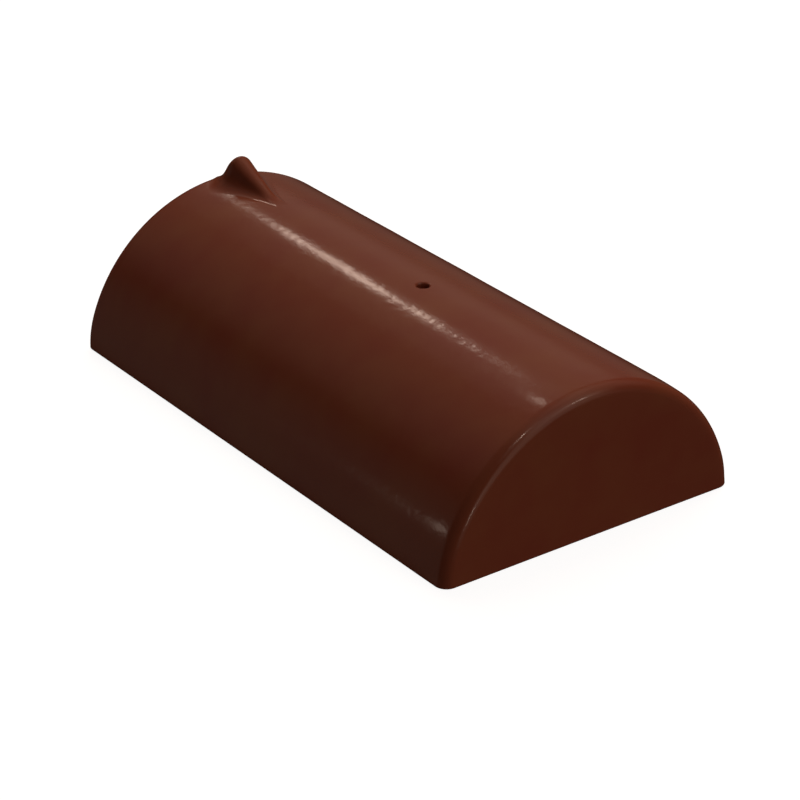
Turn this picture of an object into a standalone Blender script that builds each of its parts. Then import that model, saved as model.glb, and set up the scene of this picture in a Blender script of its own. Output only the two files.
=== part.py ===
"""Ridge end cap tile: a half-round ridge tile with one end closed, moulded and glazed as one piece.

Metres, +Z up. The tile stands on its rims at z = 0, with the origin under its middle.
Its closed end faces -Y, its open end faces +Y, and the nib stands on the crown at the open end.
"""
import math

import bmesh
import bpy
import numpy as np

# Barrel: a three-centred arch carried along Y
LENGTH = 0.400
WIDTH = 0.220
RISE = 0.099
HAUNCH_ANGLE = math.radians(19.2)
WALL = 0.013
END_WALL = 0.014

# Roundings and fillets
CLOSED_END_RADIUS = 0.008
OPEN_END_RADIUS = 0.007
INSIDE_FILLET = 0.006
EDGE_SOFTENING = 0.0012

# Nail hole through the crown
HOLE_DIAMETER = 0.008
HOLE_FROM_CLOSED_END = 0.1735
HOLE_SIDE_STEP = 0.0035

# Nib: a thumb of clay that climbs from a blunt foot to a domed top near the open end
NIB_LENGTH = 0.0545
NIB_SETBACK = 0.0005
NIB_SIDE_STEP = 0.0036
NIB_CLIMB = 0.455
NIB_BACK_SLOPE = 1.9
NIB_TOP_ROUNDING = 0.012
NIB_FOOT_RADIUS = 0.004
NIB_TOP_RADIUS = 0.0095
NIB_FLANK_ANGLE = math.radians(66)
NIB_FOOT_FILLET = 0.004
NIB_FILLET = 0.0095
NIB_GRID = 0.0018
NIB_BED = 0.0004

# Facets
CROWN_SEGMENTS = 36
HAUNCH_SEGMENTS = 6
ROUNDING_SEGMENTS = 6
RIM_SEGMENTS = 3
HOLE_SIDES = 32
SHARP_ANGLE = math.radians(30)
CUT_MARGIN = 0.010
WELD = 0.000001

GLAZE_COLOUR = (0.210, 0.050, 0.022, 1.0)
GLAZE_ROUGHNESS = 0.12


def clear_scene():
    for thing in list(bpy.data.objects):
        bpy.data.objects.remove(thing, do_unlink=True)


def new_collection(name):
    collection = bpy.data.collections.new(name)
    bpy.context.scene.collection.children.link(collection)
    return collection


def crown_circle(half_width, rise):
    """Centre height and radius of the crown arc, and the haunch centres' distance from the middle.

    The haunch arcs start upright at the base and meet the crown arc HAUNCH_ANGLE above it.
    """
    haunch_centre = (half_width - rise) / (1 + math.tan(HAUNCH_ANGLE) - 1 / math.cos(HAUNCH_ANGLE))
    radius = half_width - haunch_centre + haunch_centre / math.cos(HAUNCH_ANGLE)
    return rise - radius, radius, haunch_centre


def arc(centre_x, centre_z, radius, start, end, segments):
    angles = np.linspace(start, end, segments + 1)
    return list(zip(centre_x + radius * np.cos(angles), centre_z + radius * np.sin(angles)))


def arch_outline(inset):
    """Points of the arch from its right foot over the crown to its left foot, inset from outside."""
    half_width = WIDTH / 2 - inset
    rise = RISE - inset
    centre_z, radius, haunch_centre = crown_circle(half_width, rise)
    haunch_radius = half_width - haunch_centre
    right = arc(haunch_centre, 0, haunch_radius, 0, HAUNCH_ANGLE, HAUNCH_SEGMENTS)
    crown = arc(0, centre_z, radius, HAUNCH_ANGLE, math.pi - HAUNCH_ANGLE, CROWN_SEGMENTS)
    left = [(-x, z) for x, z in reversed(right)]
    return right[:-1] + crown + left[1:]


def extrude_outline(name, outline, y_start, y_end, collection):
    """A solid with the given X-Z outline between two places along Y."""
    curve = bpy.data.curves.new(name + "_outline", "CURVE")
    curve.dimensions = "2D"
    curve.fill_mode = "BOTH"
    curve.extrude = (y_end - y_start) / 2
    spline = curve.splines.new("POLY")
    spline.points.add(len(outline) - 1)
    for point, (x, z) in zip(spline.points, outline):
        point.co = (x, z, 0, 1)
    spline.use_cyclic_u = True

    flat = bpy.data.objects.new(name + "_outline", curve)
    flat.rotation_euler = (math.pi / 2, 0, 0)
    flat.location = (0, (y_start + y_end) / 2, 0)
    collection.objects.link(flat)
    bpy.context.view_layer.update()
    evaluated = flat.evaluated_get(bpy.context.evaluated_depsgraph_get())
    mesh = bpy.data.meshes.new_from_object(evaluated)
    mesh.name = name
    mesh.transform(flat.matrix_world)
    bpy.data.objects.remove(flat, do_unlink=True)

    shape = bmesh.new()
    shape.from_mesh(mesh)
    bmesh.ops.remove_doubles(shape, verts=shape.verts, dist=WELD)
    bmesh.ops.dissolve_limit(shape, angle_limit=math.radians(0.2), verts=shape.verts, edges=shape.edges)
    bmesh.ops.recalc_face_normals(shape, faces=shape.faces)
    shape.to_mesh(mesh)
    shape.free()
    solid = bpy.data.objects.new(name, mesh)
    collection.objects.link(solid)
    return solid


def round_end_edges(solid, radii_by_y):
    """Round the arched edges at the given places along Y, and leave the edges on the base sharp."""
    widest = max(radii_by_y.values())
    shape = bmesh.new()
    shape.from_mesh(solid.data)
    weights = shape.edges.layers.float.new("bevel_weight_edge")
    lowest = min(vert.co.z for vert in shape.verts)
    for edge in shape.edges:
        on_base = all(vert.co.z - lowest < WELD for vert in edge.verts)
        for place, radius in radii_by_y.items():
            at_end = all(abs(vert.co.y - place) < WELD for vert in edge.verts)
            if at_end and not on_base:
                edge[weights] = radius / widest
    shape.to_mesh(solid.data)
    shape.free()
    bevel = solid.modifiers.new("End rounding", "BEVEL")
    bevel.limit_method = "WEIGHT"
    bevel.width = widest
    bevel.segments = ROUNDING_SEGMENTS


def add_boolean(solid, operation, other):
    boolean = solid.modifiers.new(other.name, "BOOLEAN")
    boolean.operation = operation
    boolean.object = other
    other.hide_render = True
    other.display_type = "WIRE"


def smooth_min(first, second, blend):
    """The lower of two heights, with a round of about the blend's size where they cross."""
    overlap = np.clip(blend - np.abs(first - second), 0, None)
    return np.minimum(first, second) - overlap**2 / (4 * blend)


def nib_places():
    """Places along Y of the nib's foot and back."""
    back = LENGTH / 2 - OPEN_END_RADIUS - NIB_SETBACK
    return back - NIB_LENGTH, back


def nib_share(y):
    """How far along the nib a place is, from 0 at the foot to 1 at the back."""
    foot, back = nib_places()
    return min(max((y - foot) / (back - foot), 0), 1)


def nib_surface(x, y):
    """Height of the nib, and the cosine of its side slope.

    The ridge is the lower of a slow climb from the foot and a steep back, rounded at the top. It
    falls to the sides in an arc, whose radius grows from foot to back, and then in straight flanks.
    """
    foot, back = nib_places()
    ridge = smooth_min(NIB_CLIMB * (y - foot), NIB_BACK_SLOPE * (back - y), NIB_TOP_ROUNDING)
    radius = NIB_FOOT_RADIUS + (NIB_TOP_RADIUS - NIB_FOOT_RADIUS) * nib_share(y)
    aside = abs(x - NIB_SIDE_STEP)
    on_arc = min(aside, radius * math.sin(NIB_FLANK_ANGLE))
    cosine = math.sqrt(1 - (on_arc / radius) ** 2)
    fall = radius * (1 - cosine) + math.tan(NIB_FLANK_ANGLE) * (aside - on_arc)
    return RISE + ridge - fall, cosine


def nib_bed(x, y):
    """Height of the patch away from the nib: a little below the crown and the mouth's rounding."""
    past = max(0, y - LENGTH / 2 + OPEN_END_RADIUS)
    inset = OPEN_END_RADIUS - math.sqrt(OPEN_END_RADIUS**2 - past**2)
    centre_z, radius, _ = crown_circle(WIDTH / 2, RISE)
    return centre_z + math.sqrt((radius - inset) ** 2 - x**2) - NIB_BED


def filleted(bed, top, cosine, reach):
    """Height where a surface rises out of a bed, with a fillet that reaches equally far on both.

    The fillet is the parabola that touches the bed and the surface at that reach from where they
    meet. The cosine is that of the surface's slope.
    """
    height = top - bed
    if height > reach:
        return top
    run_out = max(cosine * height + reach, 0) ** 2
    middle = reach * (1 + cosine) - cosine * (1 - cosine) * max(height, -reach / cosine)
    return bed + run_out / (middle + math.sqrt(middle**2 - (1 - cosine) ** 2 * run_out))


def make_nib(collection):
    """The nib on a patch that lies a little below the barrel's surface, closed by a flat floor."""
    foot, back = nib_places()
    top = NIB_LENGTH / (1 / NIB_CLIMB + 1 / NIB_BACK_SLOPE)
    flank_run = top / math.tan(NIB_FLANK_ANGLE)
    half_x = NIB_TOP_RADIUS + flank_run + NIB_FILLET
    y_start = foot - NIB_FOOT_FILLET / NIB_CLIMB
    y_end = LENGTH / 2 - OPEN_END_RADIUS / 8
    half_y = (y_end - y_start) / 2

    shape = bmesh.new()
    bmesh.ops.create_grid(
        shape,
        x_segments=math.ceil(2 * half_x / NIB_GRID),
        y_segments=math.ceil(2 * half_y / NIB_GRID),
        size=1,
    )
    for vert in shape.verts:
        x = NIB_SIDE_STEP + vert.co.x * half_x
        y = (y_start + y_end) / 2 + vert.co.y * half_y
        share = nib_share(y)
        reach = NIB_FOOT_FILLET + (NIB_FILLET - NIB_FOOT_FILLET) * share**2 * (3 - 2 * share)
        vert.co = (x, y, filleted(nib_bed(x, y), *nib_surface(x, y), reach))

    rim = [edge for edge in shape.edges if edge.is_boundary]
    floor = min(vert.co.z for vert in shape.verts) - WALL / 16
    extruded = bmesh.ops.extrude_edge_only(shape, edges=rim)["geom"]
    for vert in extruded:
        if isinstance(vert, bmesh.types.BMVert):
            vert.co.z = floor
    floor_edges = [edge for edge in extruded if isinstance(edge, bmesh.types.BMEdge)]
    bmesh.ops.edgeloop_fill(shape, edges=floor_edges)
    bmesh.ops.recalc_face_normals(shape, faces=shape.faces)

    mesh = bpy.data.meshes.new("nib_blank")
    shape.to_mesh(mesh)
    shape.free()
    nib = bpy.data.objects.new("nib_blank", mesh)
    collection.objects.link(nib)
    return nib


def make_hollow(collection):
    """The space under the barrel: the arch inset by the wall, open below and at the open end."""
    outline = arch_outline(WALL)
    inner_half = WIDTH / 2 - WALL
    outline = [(inner_half, -CUT_MARGIN)] + outline + [(-inner_half, -CUT_MARGIN)]
    inner_end = END_WALL - LENGTH / 2
    hollow = extrude_outline("hollow", outline, inner_end, LENGTH / 2 + CUT_MARGIN, collection)
    round_end_edges(hollow, {inner_end: INSIDE_FILLET})
    return hollow


def make_nail_hole(collection):
    """A drill through the crown, turned about the upright axis, that leaves both rims rounded."""
    bore = HOLE_DIAMETER / 2
    rim = bore + EDGE_SOFTENING
    inside = RISE - WALL
    upper = arc(rim, RISE - EDGE_SOFTENING, EDGE_SOFTENING, math.pi / 2, math.pi, RIM_SEGMENTS)
    lower = arc(rim, inside + EDGE_SOFTENING, EDGE_SOFTENING, math.pi, 1.5 * math.pi, RIM_SEGMENTS)
    top = [(0, RISE + CUT_MARGIN), (rim, RISE + CUT_MARGIN)]
    bottom = [(rim, inside - CUT_MARGIN), (0, inside - CUT_MARGIN)]
    profile = top + upper + lower + bottom

    mesh = bpy.data.meshes.new("nail_hole")
    links = [(index, index + 1) for index in range(len(profile) - 1)]
    mesh.from_pydata([(x, 0, z) for x, z in profile], links, [])
    drill = bpy.data.objects.new("nail_hole", mesh)
    drill.location = (HOLE_SIDE_STEP, HOLE_FROM_CLOSED_END - LENGTH / 2, 0)
    collection.objects.link(drill)
    screw = drill.modifiers.new("Turn", "SCREW")
    screw.steps = HOLE_SIDES
    screw.render_steps = HOLE_SIDES
    screw.use_merge_vertices = True
    screw.merge_threshold = WELD
    return drill


def soften_edges(solid):
    """A small round on the sharp edges of the rims and the mouth."""
    bevel = solid.modifiers.new("Soft edges", "BEVEL")
    bevel.limit_method = "ANGLE"
    bevel.angle_limit = math.radians(60)
    bevel.width = EDGE_SOFTENING
    bevel.segments = 2


def glaze_material():
    material = bpy.data.materials.new("Brown glaze")
    material.use_nodes = True
    shader = material.node_tree.nodes["Principled BSDF"]
    shader.inputs["Base Color"].default_value = GLAZE_COLOUR
    shader.inputs["Roughness"].default_value = GLAZE_ROUGHNESS
    shader.inputs["Metallic"].default_value = 0.0
    return material


def make_tile(parts, cutters):
    tile = extrude_outline("ridge_end_cap_tile", arch_outline(0), -LENGTH / 2, LENGTH / 2, parts)
    round_end_edges(tile, {-LENGTH / 2: CLOSED_END_RADIUS, LENGTH / 2: OPEN_END_RADIUS})
    add_boolean(tile, "DIFFERENCE", make_hollow(cutters))
    soften_edges(tile)
    add_boolean(tile, "UNION", make_nib(cutters))
    add_boolean(tile, "DIFFERENCE", make_nail_hole(cutters))
    tile.data.materials.append(glaze_material())
    tile.data.shade_smooth()
    tile.data.set_sharp_from_angle(angle=SHARP_ANGLE)
    return tile


clear_scene()
make_tile(new_collection("ridge_end_cap_tile"), new_collection("cutters"))
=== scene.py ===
"""Looks of the ridge end cap tile: its moulded form as one fine mesh, brown glaze over fired clay.

All shapes are worked out in millimetres, in the frame of the CAD part: +Z up, the closed end at
-Y, the open end and the nib at +Y. A point of the barrel is given by the lean of its outward
normal from upright, its place along Y, and its inset, which is how far it lies under the outer
surface along that normal.
"""

import math

import bmesh
import bpy
import numpy as np
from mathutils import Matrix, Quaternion, Vector


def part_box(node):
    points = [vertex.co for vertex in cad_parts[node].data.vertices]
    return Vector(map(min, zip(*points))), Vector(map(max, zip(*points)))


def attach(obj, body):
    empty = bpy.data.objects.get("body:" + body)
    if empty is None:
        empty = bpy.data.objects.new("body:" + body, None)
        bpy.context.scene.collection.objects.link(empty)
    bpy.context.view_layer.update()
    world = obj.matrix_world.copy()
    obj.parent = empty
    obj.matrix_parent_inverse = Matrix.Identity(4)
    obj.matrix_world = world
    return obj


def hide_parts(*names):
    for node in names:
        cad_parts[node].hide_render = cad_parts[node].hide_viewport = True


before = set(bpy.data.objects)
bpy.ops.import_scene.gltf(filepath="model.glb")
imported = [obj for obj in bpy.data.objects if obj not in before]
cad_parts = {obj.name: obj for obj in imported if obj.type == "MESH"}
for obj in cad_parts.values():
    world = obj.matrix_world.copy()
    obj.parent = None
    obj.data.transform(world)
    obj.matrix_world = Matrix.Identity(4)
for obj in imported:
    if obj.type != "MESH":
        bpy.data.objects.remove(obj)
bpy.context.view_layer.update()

TILE = "ridge_end_cap_tile"
MM = 0.001

# Barrel section: two haunch arcs that stand upright at the base, and a crown arc over them
HALF_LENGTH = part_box(TILE)[1][1] / MM
HALF_WIDTH = 110.0
RISE = 99.0
HAUNCH_ANGLE = math.radians(19.2)
HAUNCH_CENTRE = (HALF_WIDTH - RISE) / (1 + math.tan(HAUNCH_ANGLE) - 1 / math.cos(HAUNCH_ANGLE))
HAUNCH_RADIUS = HALF_WIDTH - HAUNCH_CENTRE
CROWN_RADIUS = HAUNCH_RADIUS + HAUNCH_CENTRE / math.cos(HAUNCH_ANGLE)
CROWN_CENTRE_Z = RISE - CROWN_RADIUS
CROWN_LEAN = math.pi / 2 - HAUNCH_ANGLE

# Walls, roundings and fillets
WALL = 13.0
END_WALL = 14.0
CLOSED_END_RADIUS = 8.0
OPEN_END_RADIUS = 7.0
INSIDE_FILLET = 6.0
EDGE_SOFTENING = 1.2
FOOT_LEAN = math.acos(EDGE_SOFTENING / HAUNCH_RADIUS)

# Nail hole, its rounded rims, and the square patch of the grid that is bent round it
HOLE_RADIUS = 4.0
HOLE_RIM = 1.5
HOLE_X = 3.5
HOLE_Y = 173.5 - HALF_LENGTH
PATCH_HALF = 9.0
PATCH_OPENING = 4.5
PATCH_CELLS = 36

# Nib: a thumb of clay that climbs from a blunt foot to a domed top near the open end
NIB_FOOT = 138.0
NIB_BACK = 192.5
NIB_CLIMB = 0.455
NIB_BACK_SLOPE = 1.9
NIB_TOP_ROUNDING = 12.0
NIB_FOOT_RADIUS = 4.0
NIB_TOP_RADIUS = 9.5
NIB_FLANK_ANGLE = math.radians(66)
NIB_SIDE_STEP = 3.6
NIB_FOOT_FILLET = 4.0
NIB_FILLET = 9.5
NIB_START = NIB_FOOT - NIB_FOOT_FILLET / NIB_CLIMB

# Unevenness of hand-finished clay, and the slight droop where the closed end was smoothed over.
# Each grows from nothing to its full height between the two distances from an edge.
WAVE_HEIGHT = 0.06
WAVE_LENGTHS = (28.0, 110.0)
WAVE_COUNT = 40
WAVE_SEED = 7
WAVE_FREE_OF_FOOT = (2.0, 14.0)
WAVE_FREE_OF_MOUTH = (0.5, 8.0)
DROOP_START = -172.0
DROOP_DEPTH = 0.5
DROOP_FREE_OF_FOOT = (0.0, 6.0)

# Fineness of the grid, and how near two nodes lie that are merged
FINE_STEP = 0.5
FINE_HALF_WIDTH = 22.0
COARSE_STEP = 2.5
NIB_ROW_STEP = 0.8
DROOP_ROW_STEP = 1.3
INSIDE_STEP = 5.0
ROUNDING_ROWS = 12
FACE_ROWS = 18
EDGE_POINTS = 4
BORE_ROWS = 5
SAME_PLACE = 0.001

# How far the glaze runs over an edge before it stops, and the most that is kept as a distance
GLAZE_OVER_MOUTH = math.radians(75)
GLAZE_UNDER_FOOT = 2.5
GLAZE_DOWN_BORE = 6.0
GLAZE_FAR = 10.0

# Finish: the glaze's wandering edge, its tones and ripples, and the bare clay's tones and grain
EDGE_WANDER = 3.0
EDGE_WANDER_SIZE = 6.0
EDGE_FADE = (-0.3, 0.5)
TONE_SPAN = (0.3, 0.7)
GLAZE_TONES = ("#7e3e2e", "#824832")
GLAZE_CLOUD_SIZE = 45.0
GLAZE_RIPPLE_SIZE = 6.0
GLAZE_RIPPLE_HEIGHT = 0.11
GLAZE_ROUGHNESS = 0.14
GLAZE_IOR = 1.5
CLAY_TONES = ("#8d4a30", "#a9603f")
CLAY_GRAIN_SIZE = 1.5
CLAY_GRAIN_HEIGHT = 0.4
CLAY_ROUGHNESS = 0.9


def steps(*legs):
    """Places along a line: each leg runs from a start to an end in even steps of about a size."""
    runs = [np.linspace(start, end, round(abs(end - start) / size), endpoint=False)
            for start, end, size in legs]
    return np.concatenate(runs + [[legs[-1][1]]])


def quarter_turn(rows):
    """Angles of a quarter turn, from just past nothing to a right angle."""
    return np.linspace(0, math.pi / 2, rows + 1)[1:]


def lean_of(column, inset):
    """Lean at a column of the grid.

    On the crown a column keeps its lean. On a haunch it keeps its share of the arc, which ends
    where the surface at that inset comes down to the height of the foot's rounding.
    """
    share = (np.abs(column) - CROWN_LEAN) / (FOOT_LEAN - CROWN_LEAN)
    end = np.arccos(EDGE_SOFTENING / (HAUNCH_RADIUS - inset))
    on_haunch = CROWN_LEAN + share * (end - CROWN_LEAN)
    return np.sign(column) * np.where(share < 0, np.abs(column), on_haunch)


def round_patch(x, y):
    """Bends a square patch of a grid so that its squares turn to circles towards the nail hole.

    A node on the square of half size m goes along the direction that the concentric map of a
    square to a disc gives it, to a circle that grows evenly from the hole's rim to the patch's
    edge, and it is blended back to its own square by a smooth step of the same share.
    """
    x, y = x - HOLE_X, y - HOLE_Y
    square = np.maximum(np.abs(x), np.abs(y))
    steep = np.abs(y) > np.abs(x)
    major, minor = np.where(steep, y, x), np.where(steep, x, y)
    turn = math.pi / 4 * minor / np.where(major == 0, 1, major)
    along_major, along_minor = np.sign(major) * np.cos(turn), np.sign(major) * np.sin(turn)
    share = np.clip((square - PATCH_OPENING) / (PATCH_HALF - PATCH_OPENING), 0, 1)
    rim = HOLE_RADIUS + HOLE_RIM
    circle = rim + (PATCH_HALF - rim) * share
    blend = share**2 * (3 - 2 * share)
    bent_x = (1 - blend) * circle * np.where(steep, along_minor, along_major) + blend * x
    bent_y = (1 - blend) * circle * np.where(steep, along_major, along_minor) + blend * y
    return bent_x + HOLE_X, bent_y + HOLE_Y


def barrel_rows():
    """Y of the outer sheet's rows along the barrel, finest at the nib and the nail hole."""
    return steps(
        (HALF_LENGTH - OPEN_END_RADIUS, NIB_START, NIB_ROW_STEP),
        (NIB_START, HOLE_Y + PATCH_HALF, COARSE_STEP),
        (HOLE_Y + PATCH_HALF, HOLE_Y - PATCH_HALF, 2 * PATCH_HALF / PATCH_CELLS),
        (HOLE_Y - PATCH_HALF, DROOP_START, COARSE_STEP),
        (DROOP_START, CLOSED_END_RADIUS - HALF_LENGTH, DROOP_ROW_STEP),
    )


def outer_rows(barrel_y):
    """Rows of the outer sheet: round the mouth, along the barrel, round the closed end and down
    the end face, where they close in on the middle of its foot.

    Gives each row's Y, its inset, the tilt of its normal towards +Y and its share of closing in.
    """
    mouth = quarter_turn(ROUNDING_ROWS)[::-1]
    closing = quarter_turn(ROUNDING_ROWS)
    y = np.concatenate([
        HALF_LENGTH - OPEN_END_RADIUS * (1 - np.sin(mouth)),
        barrel_y,
        CLOSED_END_RADIUS * (1 - np.sin(closing)) - HALF_LENGTH,
        np.full(FACE_ROWS, -HALF_LENGTH),
    ])
    inset = np.concatenate([
        OPEN_END_RADIUS * (1 - np.cos(mouth)),
        np.zeros(len(barrel_y)),
        CLOSED_END_RADIUS * (1 - np.cos(closing)),
        np.full(FACE_ROWS, CLOSED_END_RADIUS),
    ])
    tilt = np.concatenate([
        mouth, np.zeros(len(barrel_y)), -closing, np.full(FACE_ROWS, -math.pi / 2),
    ])
    return y, inset, tilt, closing_shares(len(y))


def inner_rows(barrel_y):
    """Rows of the inner sheet, one for each outer row: from the lip of the mouth along the
    hollow, round the fillet and down the inside of the end wall to the middle of its foot."""
    lip = quarter_turn(ROUNDING_ROWS)[::-1]
    closing = quarter_turn(ROUNDING_ROWS)
    fillet_y = END_WALL + INSIDE_FILLET - HALF_LENGTH
    over = [CLOSED_END_RADIUS - HALF_LENGTH, HOLE_Y - PATCH_HALF, HOLE_Y + PATCH_HALF,
            HALF_LENGTH - OPEN_END_RADIUS]
    under = [fillet_y, over[1], over[2], HALF_LENGTH - EDGE_SOFTENING]
    y = np.concatenate([
        HALF_LENGTH - EDGE_SOFTENING * (1 - np.sin(lip)),
        np.interp(barrel_y, over, under),
        fillet_y - INSIDE_FILLET * np.sin(closing),
        np.full(FACE_ROWS, END_WALL - HALF_LENGTH),
    ])
    inset = np.concatenate([
        WALL - EDGE_SOFTENING * (1 - np.cos(lip)),
        np.full(len(barrel_y), WALL),
        WALL + INSIDE_FILLET * (1 - np.cos(closing)),
        np.full(FACE_ROWS, WALL + INSIDE_FILLET),
    ])
    return y, inset, np.zeros(len(y)), closing_shares(len(y))


def closing_shares(count):
    """Share of closing in, none for all but the last rows, which reach the middle of the foot."""
    return np.concatenate([np.zeros(count - FACE_ROWS), np.linspace(0, 1, FACE_ROWS + 1)[1:]])


def columns(inset, fine, coarse):
    """Columns of a sheet from the left foot to the right one: coarse, then fine near the nib, with
    the nail hole's patch, whose columns are even in plan, in the middle of their count."""
    patch = HOLE_X + np.linspace(-PATCH_HALF, PATCH_HALF, PATCH_CELLS + 1)
    patch = np.arcsin(patch / (CROWN_RADIUS - inset))
    near = FINE_HALF_WIDTH / CROWN_RADIUS
    side = steps((near, FOOT_LEAN, coarse / CROWN_RADIUS))
    count = round((FINE_HALF_WIDTH - PATCH_HALF) / fine)
    left = np.linspace(-near, patch[0], count + 1)[1:-1]
    right = np.linspace(patch[-1], near, count + 1)[1:-1]
    return np.concatenate([-side[::-1], left, patch, right, side])


def sheet(column, rows, patch_row):
    """Points and outward normals of a sheet: each row crossed with each column.

    A point lies on the crown or haunch arc that holds its lean, with the radius less the inset:
    x = centre + radius sin(lean), z = centre + radius cos(lean). The last rows move it by their
    share towards the middle of the foot. The patch round the nail hole is bent in plan first.
    """
    y, inset, tilt, closing = (np.broadcast_to(row[:, None], (len(row), len(column))) for row in rows)
    y, lean = y.copy(), lean_of(column, inset)
    first = len(column) // 2 - PATCH_CELLS // 2
    patch = np.s_[patch_row:patch_row + PATCH_CELLS + 1, first:first + PATCH_CELLS + 1]
    radius = CROWN_RADIUS - inset[patch]
    plan_x, y[patch] = round_patch(radius * np.sin(lean[patch]), y[patch])
    lean[patch] = np.arcsin(plan_x / radius)

    on_crown = np.abs(lean) <= CROWN_LEAN
    radius = np.where(on_crown, CROWN_RADIUS, HAUNCH_RADIUS) - inset
    x = np.where(on_crown, 0, np.sign(lean) * HAUNCH_CENTRE) + radius * np.sin(lean)
    z = np.where(on_crown, CROWN_CENTRE_Z, 0) + radius * np.cos(lean)
    points = np.stack([x * (1 - closing), y, z + (EDGE_SOFTENING - z) * closing], axis=-1)
    normals = np.stack([np.sin(lean) * np.cos(tilt), np.sin(tilt), np.cos(lean) * np.cos(tilt)], axis=-1)
    return points, normals


def foot_path(outer_end, inner_end):
    """Underside from the outer foot to the inner one, row by row.

    It runs straight in plan. In height it goes down a quarter round to the base, across it and up
    a quarter round. The same rounding lifts it where it comes to the face of the mouth.
    """
    turn = quarter_turn(EDGE_POINTS)
    turn_back = turn[::-1]
    across = inner_end[:, :2] - outer_end[:, :2]
    width = np.linalg.norm(across, axis=1)[:, None]
    offset = np.concatenate([
        np.broadcast_to(EDGE_SOFTENING * (1 - np.cos(turn)), (len(width), EDGE_POINTS)),
        width - EDGE_SOFTENING * (1 - np.cos(turn_back)),
    ], axis=1)
    plan = outer_end[:, None, :2] + (offset / width)[..., None] * across[:, None, :]
    height = EDGE_SOFTENING * (1 - np.sin(np.concatenate([turn, turn_back])))
    past_lip = np.clip(plan[..., 1] - (HALF_LENGTH - EDGE_SOFTENING), 0, EDGE_SOFTENING)
    lift = EDGE_SOFTENING - np.sqrt(EDGE_SOFTENING**2 - past_lip**2)
    z = lift + (1 - lift / EDGE_SOFTENING) * height
    return np.concatenate([plan, z[..., None]], axis=-1)


def waves(points):
    """Smooth unevenness of about -1 to 1: a sum of sine waves in random directions, each as high
    as it is long, over the root of the sum of their squared lengths."""
    rng = np.random.default_rng(WAVE_SEED)
    heading = rng.normal(size=(WAVE_COUNT, 3))
    heading /= np.linalg.norm(heading, axis=1, keepdims=True)
    length = np.exp(rng.uniform(*np.log(WAVE_LENGTHS), WAVE_COUNT))
    phase = rng.uniform(0, 2 * math.pi, WAVE_COUNT)
    total = np.sin(points @ (heading * 2 * math.pi / length[:, None]).T + phase) @ length
    return total / np.linalg.norm(length)


def smooth_step(value, start, end):
    """Rises from 0 at start to 1 at end, level at both."""
    share = np.clip((value - start) / (end - start), 0, 1)
    return share**2 * (3 - 2 * share)


def smooth_min(first, second, blend):
    """The lower of two heights, rounded over about the blend's size where they cross."""
    overlap = np.clip(blend - np.abs(first - second), 0, None)
    return np.minimum(first, second) - overlap**2 / (4 * blend)


def nib_shape(x, y):
    """The nib before its fillet: its height over the crown line and the cosine of its side slope.

    It is its ridge less the fall to its sides. The ridge is the lower of a slow climb from the
    foot and a steep back, rounded at the top. The fall is a circular arc over the ridge, whose
    radius grows towards the back, and runs on straight down the flanks.
    """
    ridge = smooth_min(NIB_CLIMB * (y - NIB_FOOT), NIB_BACK_SLOPE * (NIB_BACK - y), NIB_TOP_ROUNDING)
    share = np.clip((y - NIB_FOOT) / (NIB_BACK - NIB_FOOT), 0, 1)
    radius = NIB_FOOT_RADIUS + (NIB_TOP_RADIUS - NIB_FOOT_RADIUS) * share
    aside = np.abs(x - NIB_SIDE_STEP)
    on_arc = np.minimum(aside, radius * math.sin(NIB_FLANK_ANGLE))
    fall = radius - np.sqrt(radius**2 - on_arc**2) + math.tan(NIB_FLANK_ANGLE) * (aside - on_arc)
    return ridge - fall, np.sqrt(1 - (on_arc / radius)**2)


def raise_nib(x, y, z):
    """Height of the outer sheet with the nib raised on it and a fillet between them.

    With h the nib's height over the sheet, c the cosine of its side slope and r the fillet's
    reach, which grows from the foot to the back, the fillet is the parabola that touches sheet
    and nib a reach away from where they meet:
    rise = (c h + r)^2 / (b + sqrt(b^2 - (1 - c)^2 (c h + r)^2)), with b = r (1 + c) - c (1 - c) h.
    """
    height, cosine = nib_shape(x, y)
    height = height + RISE - z
    reach = NIB_FOOT_FILLET + (NIB_FILLET - NIB_FOOT_FILLET) * smooth_step(y, NIB_FOOT, NIB_BACK)
    on_fillet = np.clip(height, -reach / cosine, reach)
    run_out = (cosine * on_fillet + reach)**2
    b = reach * (1 + cosine) - cosine * (1 - cosine) * on_fillet
    fillet = run_out / (b + np.sqrt(b**2 - (1 - cosine)**2 * run_out))
    return z + np.where(height > reach, height, fillet)


def finish_outside(points, normals, rows):
    """Makes the outer sheet uneven, lets the closed end droop and then raises the nib.

    The first two move a point along its normal. The unevenness dies out at the foot and the mouth,
    which stay true. The droop deepens with the square of the distance towards the closed end's
    rounding, and dies out round it. The nib is the higher of the barrel and its own surface, with
    a fillet between them.
    """
    x, y, z = np.moveaxis(points, -1, 0)
    tilt, closing = rows[2][:, None], rows[3][:, None]
    free = smooth_step(z, *WAVE_FREE_OF_FOOT) * smooth_step(HALF_LENGTH - y, *WAVE_FREE_OF_MOUTH)
    past_start = np.clip((DROOP_START - y) / (DROOP_START + HALF_LENGTH - CLOSED_END_RADIUS), 0, 1)
    droop = DROOP_DEPTH * past_start**2 * np.cos(tilt)**2 * (1 - closing)
    moved = WAVE_HEIGHT * waves(points) * free - droop * smooth_step(z, *DROOP_FREE_OF_FOOT)
    points = points + moved[..., None] * normals
    x, y, z = np.moveaxis(points, -1, 0)
    near = (z > RISE / 2) & (y > NIB_START)
    return np.stack([x, y, np.where(near, raise_nib(x, y, z), z)], axis=-1)


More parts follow.
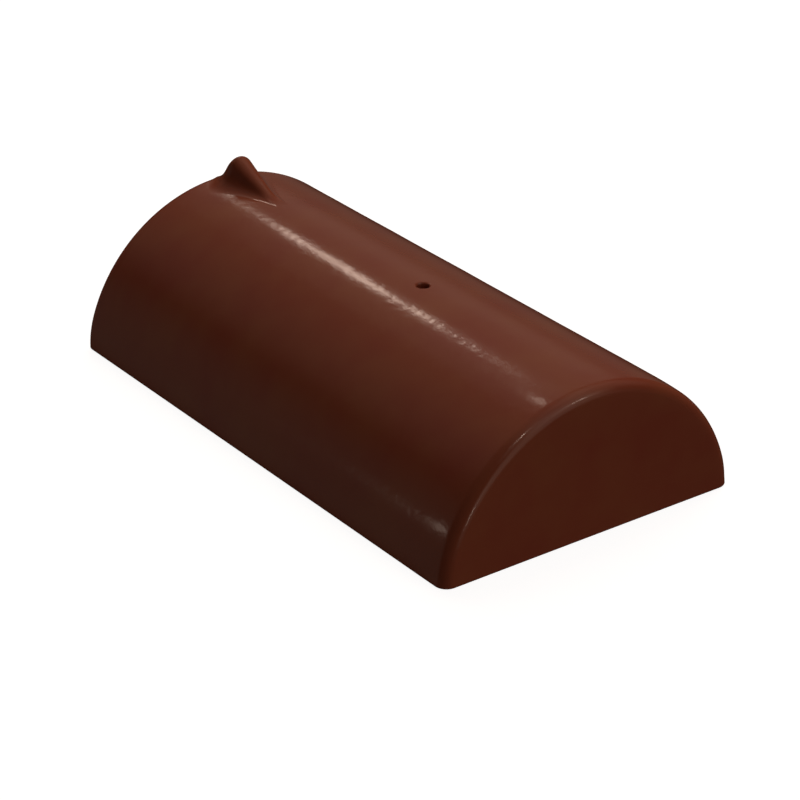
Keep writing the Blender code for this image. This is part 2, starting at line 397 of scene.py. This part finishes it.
def bore(outer_rim, inner_rim):
    """Wall of the nail hole, as rings from the outer rim down to the inner one.

    A ring keeps the directions of the rims' nodes. Its radius and height follow a quarter round
    inwards from the outer rim, a straight bore, and a quarter round outwards to the inner rim.
    """
    turn = quarter_turn(EDGE_POINTS)
    centre = np.array([HOLE_X, HOLE_Y])
    outwards = outer_rim[:, :2] - centre
    outwards /= np.linalg.norm(outwards, axis=1, keepdims=True)
    down = np.concatenate([
        HOLE_RIM * (1 - np.cos(turn)), np.full(BORE_ROWS, HOLE_RIM), np.full(EDGE_POINTS, HOLE_RIM),
    ])
    up = np.concatenate([
        np.full(EDGE_POINTS, HOLE_RIM), np.full(BORE_ROWS, HOLE_RIM), HOLE_RIM * (1 - np.cos(turn[::-1])),
    ])
    radius = HOLE_RADIUS + HOLE_RIM - np.concatenate([
        HOLE_RIM * np.sin(turn), np.full(BORE_ROWS, HOLE_RIM), HOLE_RIM * np.sin(turn[::-1]),
    ])
    share = np.concatenate([
        np.zeros(EDGE_POINTS), np.linspace(0, 1, BORE_ROWS + 2)[1:-1], np.ones(EDGE_POINTS),
    ])[:, None]
    plan = centre + radius[:, None, None] * outwards
    z = (outer_rim[:, 2] - down[:, None]) * (1 - share) + (inner_rim[:, 2] + up[:, None]) * share
    return np.concatenate([plan, z[..., None]], axis=-1)


def glaze_reach(outer, inner, tilt):
    """How far each node of the rings lies within the glaze's edge, measured along the skin.

    On the outer sheet it is the lesser of the way down to the edge under the foot and the way
    back to the edge in the mouth's rounding. It runs out on the underside, and the inner sheet
    is bare.
    """
    to_mouth = (OPEN_END_RADIUS * (GLAZE_OVER_MOUTH - tilt))[:, None]
    round_foot = EDGE_SOFTENING * math.pi / 2
    on_outer = np.minimum(outer[..., 2] - EDGE_SOFTENING + round_foot + GLAZE_UNDER_FOOT, to_mouth)
    run = np.concatenate([EDGE_SOFTENING * quarter_turn(EDGE_POINTS), np.full(EDGE_POINTS, GLAZE_FAR)])
    under = np.minimum(GLAZE_UNDER_FOOT + round_foot - run, to_mouth)
    bare = np.full(inner.shape[:2], -GLAZE_FAR)
    return np.concatenate([on_outer, under, bare, under[:, ::-1]], axis=1)


def cells_between(rings):
    """Four-sided cells that join each ring of nodes to the next one, all the way round."""
    beside = np.roll(rings, -1, axis=1)
    return np.stack([rings[:-1], beside[:-1], beside[1:], rings[1:]], axis=-1)


def square_loop(half):
    """Steps by row and by column from the middle of a square to the nodes round its edge, taken
    in turn by their angle."""
    offset = np.arange(-half, half + 1)
    row, column = np.meshgrid(offset, offset, indexing="ij")
    edge = np.maximum(np.abs(row), np.abs(column)) == half
    row, column = row[edge], column[edge]
    order = np.argsort(np.arctan2(-row, column))
    return row[order], column[order]


def tile_mesh():
    """The whole tile as one closed skin.

    Each row is a ring: the outer sheet from left foot to right foot, the underside of the right
    foot, the inner sheet from right to left, and the underside of the left foot. The rings are
    joined one to the next, the mouth's ring is filled, and the last ring closes on itself. The
    cells in the patch's opening give way to the wall of the nail hole.
    """
    barrel_y = barrel_rows()
    patch_row = ROUNDING_ROWS + int(np.argmin(np.abs(barrel_y - HOLE_Y - PATCH_HALF)))
    outside, inside = outer_rows(barrel_y), inner_rows(barrel_y)
    outer_columns = columns(0, FINE_STEP, COARSE_STEP)
    inner_columns = columns(WALL, INSIDE_STEP, INSIDE_STEP)
    outer, normals = sheet(outer_columns, outside, patch_row)
    inner, _ = sheet(inner_columns, inside, patch_row)
    outer = finish_outside(outer, normals, outside)
    right = foot_path(outer[:, -1], inner[:, -1])
    left = foot_path(outer[:, 0], inner[:, 0])[:, ::-1]
    rings = np.concatenate([outer, right, inner[:, ::-1], left], axis=1)
    reach = glaze_reach(outer, inner, outside[2])
    node = np.arange(reach.size).reshape(reach.shape)
    cells = cells_between(node)

    half = round(PATCH_CELLS / 2 * PATCH_OPENING / PATCH_HALF)
    middle_row = patch_row + PATCH_CELLS // 2
    outer_middle = len(outer_columns) // 2
    inner_middle = len(outer_columns) + right.shape[1] + len(inner_columns) // 2
    keep = np.ones(cells.shape[:2], bool)
    for middle in (outer_middle, inner_middle):
        keep[middle_row - half:middle_row + half, middle - half:middle + half] = False
    row, column = square_loop(half)
    outer_rim = node[middle_row + row, outer_middle + column]
    inner_rim = node[middle_row + row, inner_middle - column]

    points = rings.reshape(-1, 3)
    wall = bore(points[outer_rim], points[inner_rim])
    wall_node = node.size + np.arange(wall[..., 0].size).reshape(wall.shape[:2])
    bore_cells = cells_between(np.concatenate([[outer_rim], wall_node, [inner_rim]]))
    depth = RISE - wall[..., 2]
    points = np.concatenate([points, wall.reshape(-1, 3)])
    reach = np.concatenate([reach.ravel(), (GLAZE_DOWN_BORE - depth).ravel()])

    quads = np.concatenate([cells[keep], bore_cells.reshape(-1, 4)])
    used, renumbered = np.unique(quads, return_inverse=True)
    mouth = np.searchsorted(used, node[0])
    faces = renumbered.reshape(-1, 4).tolist() + [mouth.tolist()]
    return points[used], faces, np.clip(reach[used], -GLAZE_FAR, GLAZE_FAR)


def make_tile():
    """The tile's object: the skin in metres, its doubled nodes merged, its faces turned outwards."""
    points, faces, reach = tile_mesh()
    mesh = bpy.data.meshes.new("tile_glazed")
    mesh.from_pydata((points * MM).tolist(), [], faces)
    mesh.attributes.new("glaze_reach", "FLOAT", "POINT").data.foreach_set("value", reach)
    skin = bmesh.new()
    skin.from_mesh(mesh)
    bmesh.ops.remove_doubles(skin, verts=skin.verts, dist=SAME_PLACE * MM)
    bmesh.ops.recalc_face_normals(skin, faces=skin.faces)
    skin.to_mesh(mesh)
    skin.free()
    mesh.shade_smooth()
    tile = bpy.data.objects.new("tile_glazed", mesh)
    bpy.context.collection.objects.link(tile)
    return tile


def linear(hex_colour):
    """An sRGB hex colour as linear RGBA."""
    channels = [int(hex_colour[i:i + 2], 16) / 255 for i in (1, 3, 5)]
    return [c / 12.92 if c <= 0.04045 else ((c + 0.055) / 1.055) ** 2.4 for c in channels] + [1]


def add_node(tree, kind, settings=None, **links):
    """Adds a node, sets its properties and inputs, and links inputs to other nodes' outputs.

    An input goes by its name, or by its number where a node has several of one name: a whole
    number in the settings, and _0, _1 and so on in the links.
    """
    node = tree.nodes.new(kind)
    for name, value in (settings or {}).items():
        if isinstance(name, int) or name in node.inputs:
            node.inputs[name].default_value = value
        else:
            setattr(node, name, value)
    for name, source in links.items():
        socket = node.inputs[int(name[1:])] if name[1:].isdigit() else node.inputs[name.replace("_", " ")]
        tree.links.new(source, socket)
    return node


def glazed_share(tree, place):
    """Output that is 1 where the glaze lies and 0 on bare clay, with an edge that wanders."""
    reach = add_node(tree, "ShaderNodeAttribute", {"attribute_name": "glaze_reach"}).outputs["Fac"]
    noise = add_node(tree, "ShaderNodeTexNoise", {"Scale": 1 / (EDGE_WANDER_SIZE * MM), "Detail": 3.0},
                     Vector=place)
    wander = add_node(tree, "ShaderNodeMath", {"operation": "MULTIPLY_ADD", 1: EDGE_WANDER,
                                               2: -EDGE_WANDER / 2}, _0=noise.outputs["Fac"])
    edge = add_node(tree, "ShaderNodeMath", {"operation": "ADD"}, _0=reach, _1=wander.outputs[0])
    share = add_node(tree, "ShaderNodeMapRange", {"interpolation_type": "SMOOTHSTEP",
                                                  "From Min": EDGE_FADE[0], "From Max": EDGE_FADE[1]},
                     Value=edge.outputs[0])
    return share.outputs[0]


def brown_glaze():
    """Glazed earthenware: a glossy transparent brown lead-free glaze over a red clay body.

    The glaze is a glass, so its IOR is 1.5 and it mirrors small lights sharply. It was flooded on
    and fired, so it lies in shallow ripples a few millimetres across, and its colour clouds a
    little where it pooled. Where it stops, the body shows: fired red clay, rough and dry, with a
    fine grain.
    """
    material = bpy.data.materials.new("brown_glaze")
    material.use_nodes = True
    tree = material.node_tree
    tree.nodes.clear()
    place = add_node(tree, "ShaderNodeTexCoord").outputs["Object"]
    glazed = glazed_share(tree, place)

    clouds = add_node(tree, "ShaderNodeTexNoise", {"Scale": 1 / (GLAZE_CLOUD_SIZE * MM), "Detail": 2.0},
                      Vector=place)
    grain = add_node(tree, "ShaderNodeTexNoise", {"Scale": 1 / (CLAY_GRAIN_SIZE * MM), "Detail": 5.0},
                     Vector=place)
    glaze = add_node(tree, "ShaderNodeValToRGB", Fac=clouds.outputs["Fac"])
    clay = add_node(tree, "ShaderNodeValToRGB", Fac=grain.outputs["Fac"])
    for ramp, tones in ((glaze, GLAZE_TONES), (clay, CLAY_TONES)):
        for stop, position, tone in zip(ramp.color_ramp.elements, TONE_SPAN, tones):
            stop.position = position
            stop.color = linear(tone)
    colour = add_node(tree, "ShaderNodeMix", {"data_type": "RGBA"}, Factor=glazed,
                      _6=clay.outputs["Color"], _7=glaze.outputs["Color"])
    roughness = add_node(tree, "ShaderNodeMapRange", {"To Min": CLAY_ROUGHNESS, "To Max": GLAZE_ROUGHNESS},
                         Value=glazed)

    ripple = add_node(tree, "ShaderNodeTexNoise", {"Scale": 1 / (GLAZE_RIPPLE_SIZE * MM), "Detail": 2.0},
                      Vector=place)
    ripples = add_node(tree, "ShaderNodeBump", {"Distance": GLAZE_RIPPLE_HEIGHT * MM},
                       Height=ripple.outputs["Fac"])
    bare = add_node(tree, "ShaderNodeMath", {"operation": "SUBTRACT", "use_clamp": True, 0: 1.0}, _1=glazed)
    grit = add_node(tree, "ShaderNodeBump", {"Distance": CLAY_GRAIN_HEIGHT * MM}, Strength=bare.outputs[0],
                    Height=grain.outputs["Fac"], Normal=ripples.outputs[0])
    surface = add_node(tree, "ShaderNodeBsdfPrincipled", {"IOR": GLAZE_IOR}, Base_Color=colour.outputs[2],
                       Roughness=roughness.outputs[0], Normal=grit.outputs[0])
    add_node(tree, "ShaderNodeOutputMaterial", Surface=surface.outputs[0])
    return material


# Studio: distances in metres, directions in degrees by bearing from +Y towards +X and by elevation
FLOOR_HALF = 40.0
LAMP_TARGET = Vector((0, 0, 0.06))
LAMP_DISTANCE = 20.0
LAMP_WARMTH = (1.0, 0.77, 0.63)
LAMPS = (
    # name, bearing, elevation, width, height, roll, glow, mirrored in the glaze
    ("fill_lamp", 52, 50, 40, 40, 0, 3.2, False),
    ("front_fill_lamp", 140, -10, 30, 30, 0, 1.0, False),
    ("left_fill_lamp", -70, -40, 40, 40, 0, 0.55, False),
    ("hollow_fill_lamp", 0, 0, 40, 40, 0, 1.2, False),
    ("streak_lamp", 25.3, 34.8, 2.3, 4.2, -27, 8.5, True),
    ("end_lamp", 19, 47, 3, 3, 0, 4.0, True),
    ("low_left_lamp", -49.5, 5, 3, 3, 0, 2.4, True),
    ("front_right_lamp", 148, 27, 3, 3, 0, 14.0, True),
    ("front_lamp", 192, 51, 4, 4, 0, 15.0, True),
    ("front_low_lamp", 187, -4, 3, 5, 0, 6.0, True),
)
ROOM_GLOW = 0.02
ROOM_LIGHTS = (
    # bearing, elevation, full within, none beyond, glow
    (0, 90, 20, 60, 0.04),
    (90, 80, 5, 40, 0.15),
    (100, 50, 8, 36, 0.2),
    (160, 62, 8, 34, 0.12),
    (165, 8, 12, 32, 0.4),
    (152, 34, 6, 26, 0.38),
    (147, 29, 2, 13, 0.35),
    (185, 48, 4, 22, 0.24),
    (190, -2, 4, 15, 0.22),
    (36, 28, 4, 22, 0.2),
    (20, 44, 3, 14, 0.18),
    (-15, 44, 6, 30, 0.11),
    (43, 5, 6, 22, 0.08),
    (-45, -5, 6, 30, 0.09),
)
PAPER_COLOUR = "#959595"
PAPER_GLOW = 0.92
CAMERA_PLACE = (-0.97056, -1.3362, 0.85175)
CAMERA_LENS = 129.967
CAMERA_SENSOR = 36.0
CAMERA_PITCH = math.radians(27.039)
CAMERA_YAW = math.radians(36.141)


def white_paper():
    """Matt white paper, evenly lit: no gloss, and most of its white is a glow of its own, so that
    it shows no shadow."""
    material = bpy.data.materials.new("white_paper")
    material.use_nodes = True
    paper = material.node_tree.nodes["Principled BSDF"].inputs
    paper["Base Color"].default_value = linear(PAPER_COLOUR)
    paper["Roughness"].default_value = 1.0
    paper["Specular IOR Level"].default_value = 0.0
    paper["Emission Color"].default_value = linear("#ffffff")
    paper["Emission Strength"].default_value = PAPER_GLOW
    return material


def make_floor():
    """Plain floor, seen by the camera alone: it sends the tile no light and no reflection."""
    half = FLOOR_HALF
    corners = [(-half, -half, 0), (half, -half, 0), (half, half, 0), (-half, half, 0)]
    mesh = bpy.data.meshes.new("studio_floor")
    mesh.from_pydata(corners, [], [(0, 1, 2, 3)])
    mesh.materials.append(white_paper())
    floor = bpy.data.objects.new("studio_floor", mesh)
    bpy.context.collection.objects.link(floor)
    floor.visible_glossy = False
    floor.visible_diffuse = False
    floor.visible_shadow = False


def direction(bearing, elevation):
    """Unit vector towards a bearing and an elevation in degrees."""
    a, e = math.radians(bearing), math.radians(elevation)
    return Vector((math.sin(a) * math.cos(e), math.cos(a) * math.cos(e), math.sin(e)))


def make_lamp(name, bearing, elevation, width, height, roll, glow, seen):
    """A rectangular lamp that faces the tile.

    Its width and height are the angles that it spans as the tile sees it, in degrees. Its power
    is worked out from its glow, the brightness of its face: power = pi * area * glow.
    """
    away = direction(bearing, elevation)
    data = bpy.data.lights.new(name, "AREA")
    data.shape = "RECTANGLE"
    data.size = 2 * LAMP_DISTANCE * math.tan(math.radians(width) / 2)
    data.size_y = 2 * LAMP_DISTANCE * math.tan(math.radians(height) / 2)
    data.energy = math.pi * data.size * data.size_y * glow
    data.color = LAMP_WARMTH
    light = bpy.data.objects.new(name, data)
    light.visible_glossy = seen
    light.location = LAMP_TARGET + away * LAMP_DISTANCE
    light.rotation_mode = "QUATERNION"
    light.rotation_quaternion = away.to_track_quat("Z", "Y") @ Quaternion((0, 0, 1), math.radians(roll))
    bpy.context.collection.objects.link(light)


def make_world():
    """A dim room with large soft lights round it, which the camera sees as white.

    Each soft light is a round patch of glow. It is full near its middle and fades by a smooth step
    of the cosine of the angle from there.
    """
    world = bpy.data.worlds.new("studio_room")
    world.use_nodes = True
    tree = world.node_tree
    tree.nodes.clear()
    towards = add_node(tree, "ShaderNodeTexCoord").outputs["Generated"]
    glow = None
    for bearing, elevation, full, none, strength in ROOM_LIGHTS:
        middle = direction(bearing, elevation)
        nearness = add_node(tree, "ShaderNodeVectorMath", {"operation": "DOT_PRODUCT", 1: middle},
                            _0=towards)
        patch = add_node(tree, "ShaderNodeMapRange", {
            "interpolation_type": "SMOOTHSTEP", "To Max": strength,
            "From Min": math.cos(math.radians(none)), "From Max": math.cos(math.radians(full)),
        }, Value=nearness.outputs["Value"])
        total = add_node(tree, "ShaderNodeMath", {"operation": "ADD"}, _0=patch.outputs[0])
        if glow:
            tree.links.new(glow.outputs[0], total.inputs[1])
        else:
            total.inputs[1].default_value = ROOM_GLOW
        glow = total
    room = add_node(tree, "ShaderNodeBackground", {"Color": LAMP_WARMTH + (1,)}, Strength=glow.outputs[0])
    white = add_node(tree, "ShaderNodeBackground", {"Color": (1, 1, 1, 1), "Strength": 1.0})
    seen = add_node(tree, "ShaderNodeLightPath")
    mixed = add_node(tree, "ShaderNodeMixShader", _0=seen.outputs["Is Camera Ray"],
                     _1=room.outputs[0], _2=white.outputs[0])
    add_node(tree, "ShaderNodeOutputWorld", Surface=mixed.outputs[0])
    bpy.context.scene.world = world


def make_camera():
    """Camera at the photograph's viewing angle."""
    data = bpy.data.cameras.new("camera")
    data.lens = CAMERA_LENS
    data.sensor_width = CAMERA_SENSOR
    camera = bpy.data.objects.new("camera", data)
    camera.location = CAMERA_PLACE
    camera.rotation_euler = (math.pi / 2 - CAMERA_PITCH, 0, -CAMERA_YAW)
    bpy.context.collection.objects.link(camera)
    bpy.context.scene.camera = camera


tile = make_tile()
tile.data.materials.append(brown_glaze())
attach(tile, "root")
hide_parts(TILE)

make_floor()
make_world()
for lamp in LAMPS:
    make_lamp(*lamp)
make_camera()
bpy.context.scene.view_settings.view_transform = "Standard"
